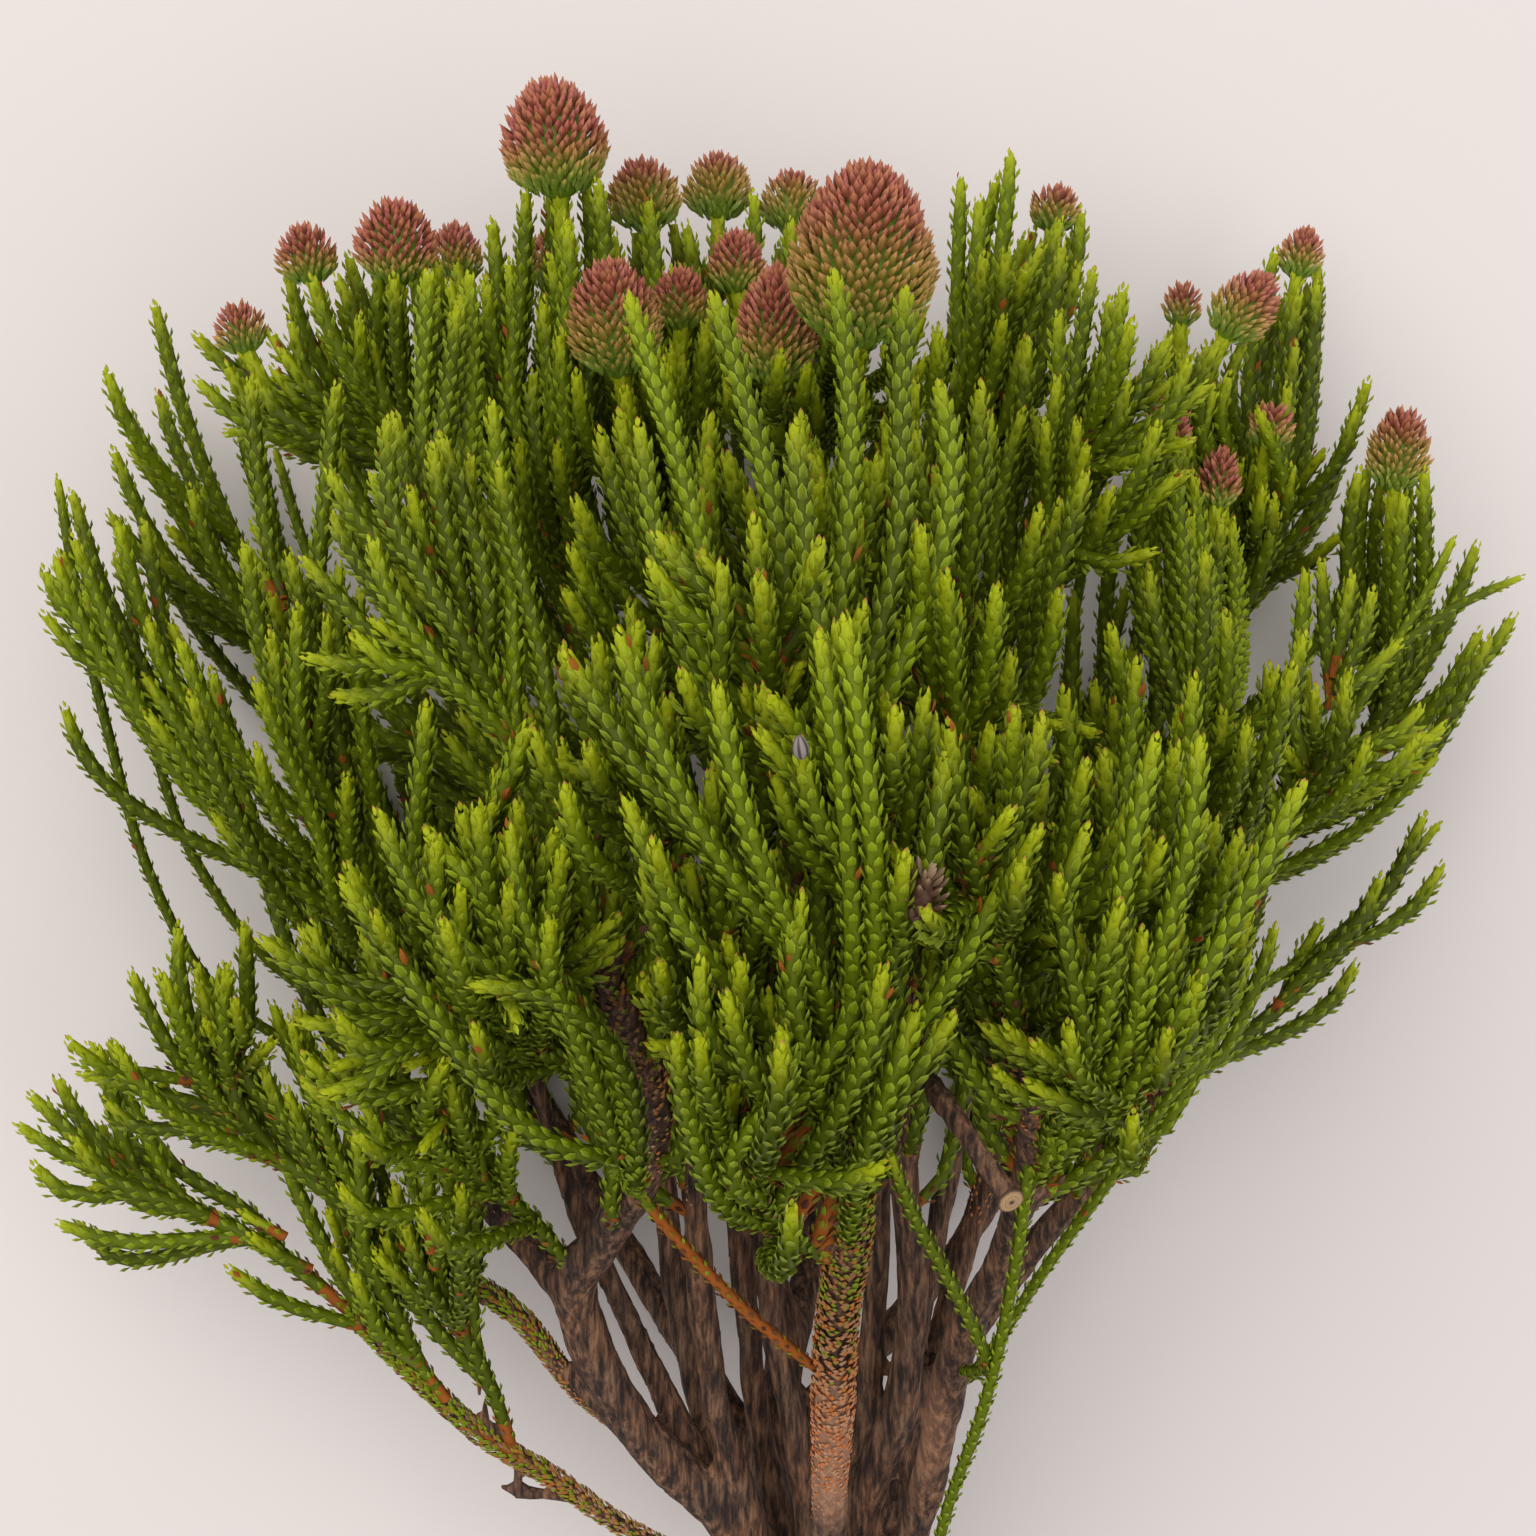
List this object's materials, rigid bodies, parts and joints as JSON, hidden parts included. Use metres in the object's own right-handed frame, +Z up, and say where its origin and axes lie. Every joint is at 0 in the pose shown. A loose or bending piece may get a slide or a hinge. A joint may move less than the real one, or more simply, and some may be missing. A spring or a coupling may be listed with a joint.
{
  "type": "cut nebelia stem",
  "caption": "Cut stem of a woody shrub lying on its back: forked limbs, upright leafy sprays and round bracted flower heads",
  "frame": {"origin": "middle of the outline on the table, at the height of the table", "axes": "+Y from the cut end towards the shoot tips, +X to the right as the camera sees it, +Z up"},
  "size_m": [0.2208, 0.3324, 0.1428],
  "materials": {
    "bark": "rough grey-brown bark",
    "scale_leaves": "satin living leaves, brighter at the shoot tips",
    "flower_bracts": "satin bracts, olive below and pink-red at the points"
  },
  "bodies": {
    "root": {"woody_stem": "bark", "spray_low_left": "scale_leaves", "spray_low_left_twig": "scale_leaves", "spray_low_side": "scale_leaves", "spray_left_elbow": "scale_leaves", "spray_left_front": "scale_leaves", "spray_left_near": "scale_leaves", "spray_left_arc": "scale_leaves", "spray_left_edge": "scale_leaves", "spray_left_middle": "scale_leaves", "spray_left_inner": "scale_leaves", "spray_top_left": "scale_leaves", "spray_top_left_inner": "scale_leaves", "spray_front_left": "scale_leaves", "spray_front_low": "scale_leaves", "spray_front": "scale_leaves", "spray_front_upper": "scale_leaves", "spray_front_side": "scale_leaves", "spray_front_right": "scale_leaves", "spray_front_right_upper": "scale_leaves", "spray_centre_left": "scale_leaves", "spray_centre": "scale_leaves", "spray_centre_right": "scale_leaves", "spray_crown_left": "scale_leaves", "spray_crown": "scale_leaves", "spray_crown_right": "scale_leaves", "spray_top_right": "scale_leaves", "spray_right_near": "scale_leaves", "spray_right_low": "scale_leaves", "spray_right_front": "scale_leaves", "spray_right_middle": "scale_leaves", "spray_right": "scale_leaves", "spray_right_arc": "scale_leaves", "spray_right_edge": "scale_leaves", "spray_far_right": "scale_leaves", "spray_under_left": "scale_leaves", "spray_under_middle": "scale_leaves", "spray_under_right": "scale_leaves", "head_top_left": "flower_bracts", "head_front": "flower_bracts", "head_left_high": "flower_bracts", "head_left_dark": "flower_bracts", "head_left_low": "flower_bracts", "head_left_back": "flower_bracts", "head_left_hidden": "flower_bracts", "head_crown_left": "flower_bracts", "head_crown_small": "flower_bracts", "head_crown_back": "flower_bracts", "head_crown_middle": "flower_bracts", "head_crown_tall": "flower_bracts", "head_crown_far": "flower_bracts", "head_crown_right": "flower_bracts", "head_top_right": "flower_bracts", "head_right_high": "flower_bracts", "head_right_lean": "flower_bracts", "head_right_small": "flower_bracts", "head_right_dark": "flower_bracts", "head_right_dark_low": "flower_bracts", "head_right_round": "flower_bracts", "head_right_stalked": "flower_bracts"}
  },
  "joints": []
}
